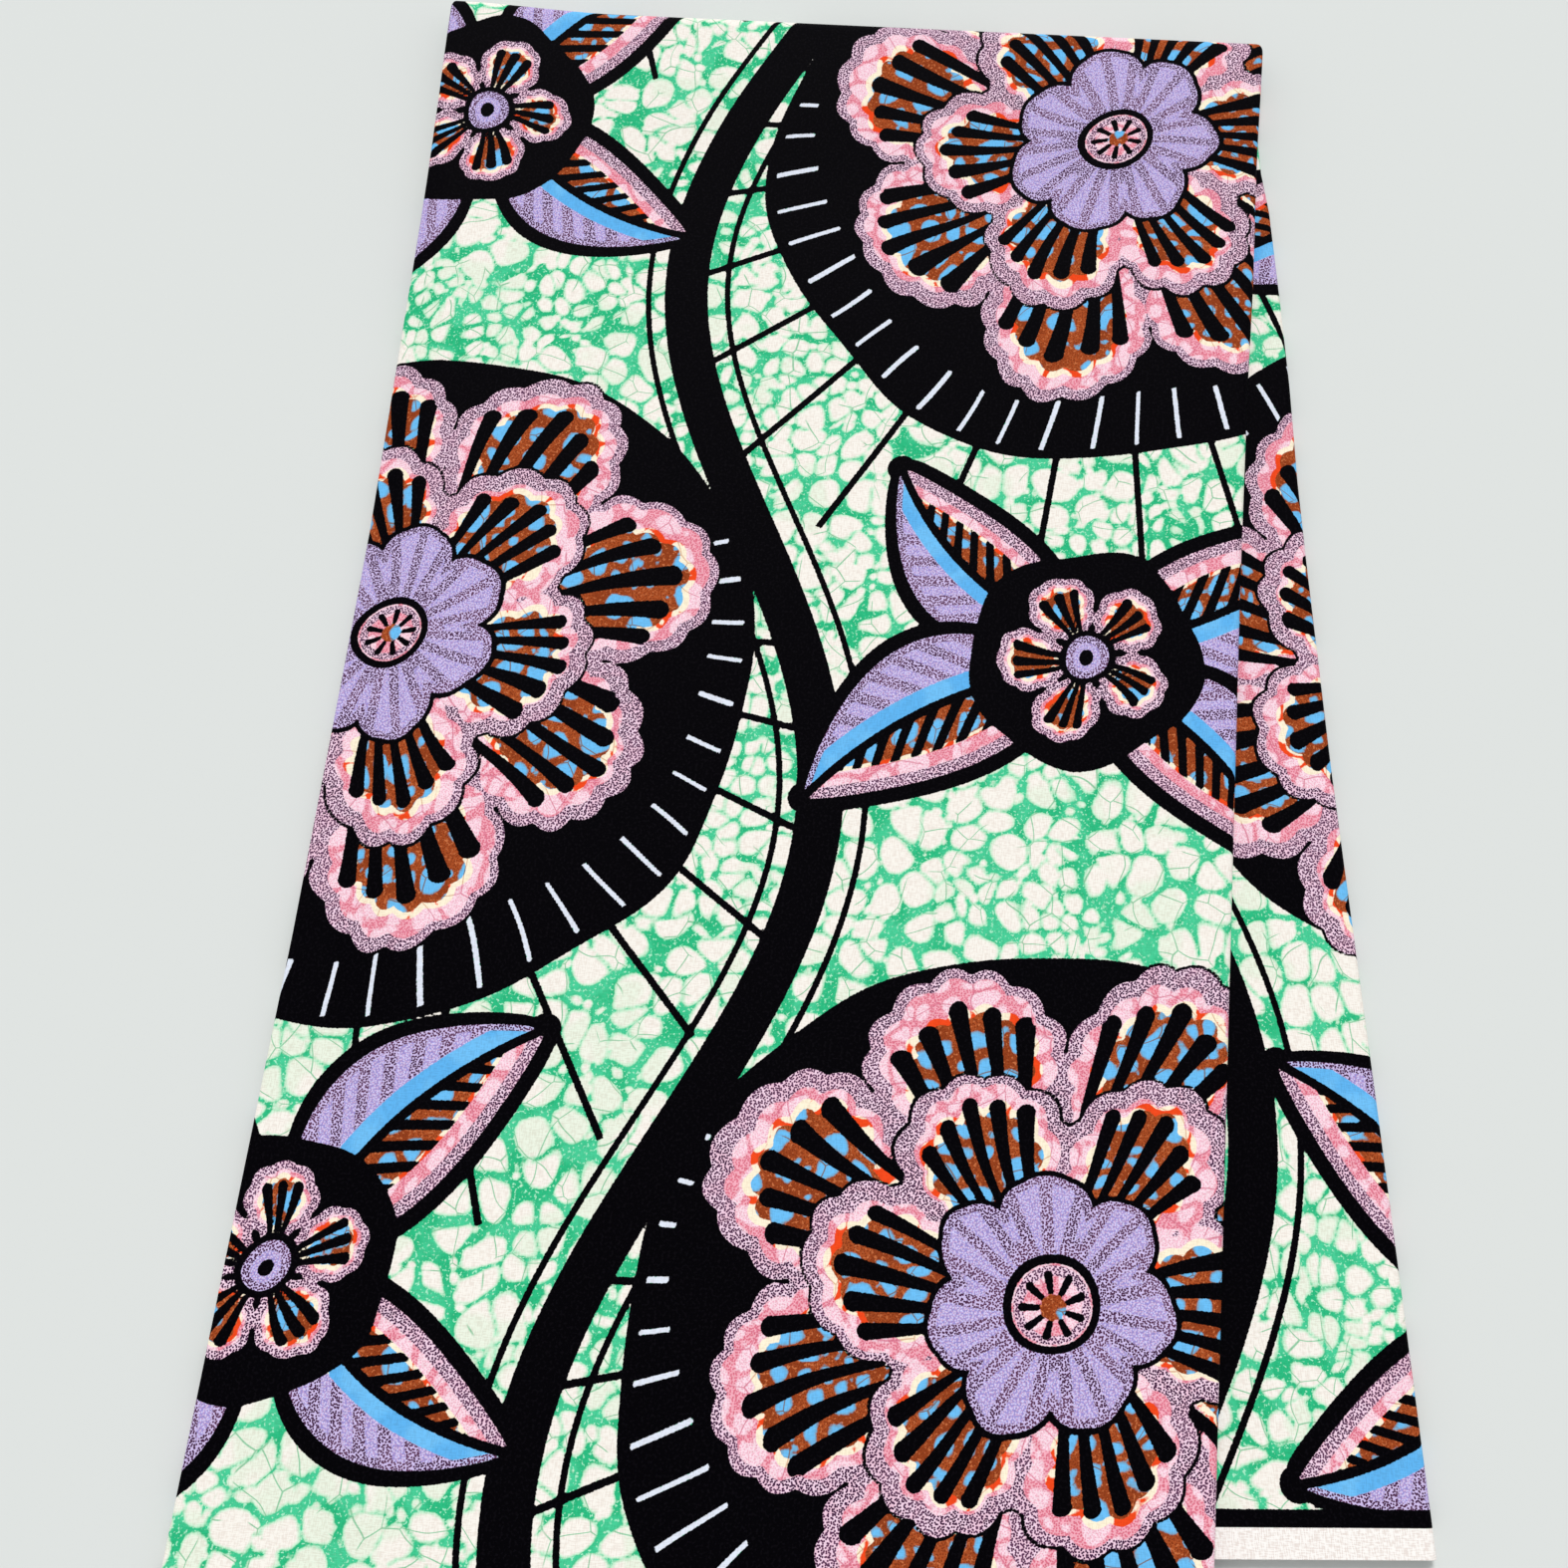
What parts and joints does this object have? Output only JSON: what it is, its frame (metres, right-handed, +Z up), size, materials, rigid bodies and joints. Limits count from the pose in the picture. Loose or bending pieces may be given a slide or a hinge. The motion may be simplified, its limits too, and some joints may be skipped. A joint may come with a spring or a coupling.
{
  "type": "folded wax print fabric",
  "caption": "Length of wax print cotton pressed and folded into a flat strip, then folded once across a little askew, so that its lower half fans out on one side. Lies flat on a table or shelf.",
  "frame": {"origin": "middle of the bounding box, on the surface that the folded cloth lies on", "axes": "+Z up, +Y towards the cross fold at the far end, +X to the side where the lower half shows"},
  "size_m": [0.4164, 0.648, 0.014],
  "materials": {
    "printed_cotton": "crisp printed cotton, faint waxy sheen",
    "folded_edges": "folded and cut edges of printed cotton, matte"
  },
  "bodies": {
    "root": {"front_layer": "printed_cotton", "lower_layer": "printed_cotton", "under_layer": "printed_cotton", "hidden_folds": "folded_edges"}
  },
  "joints": []
}
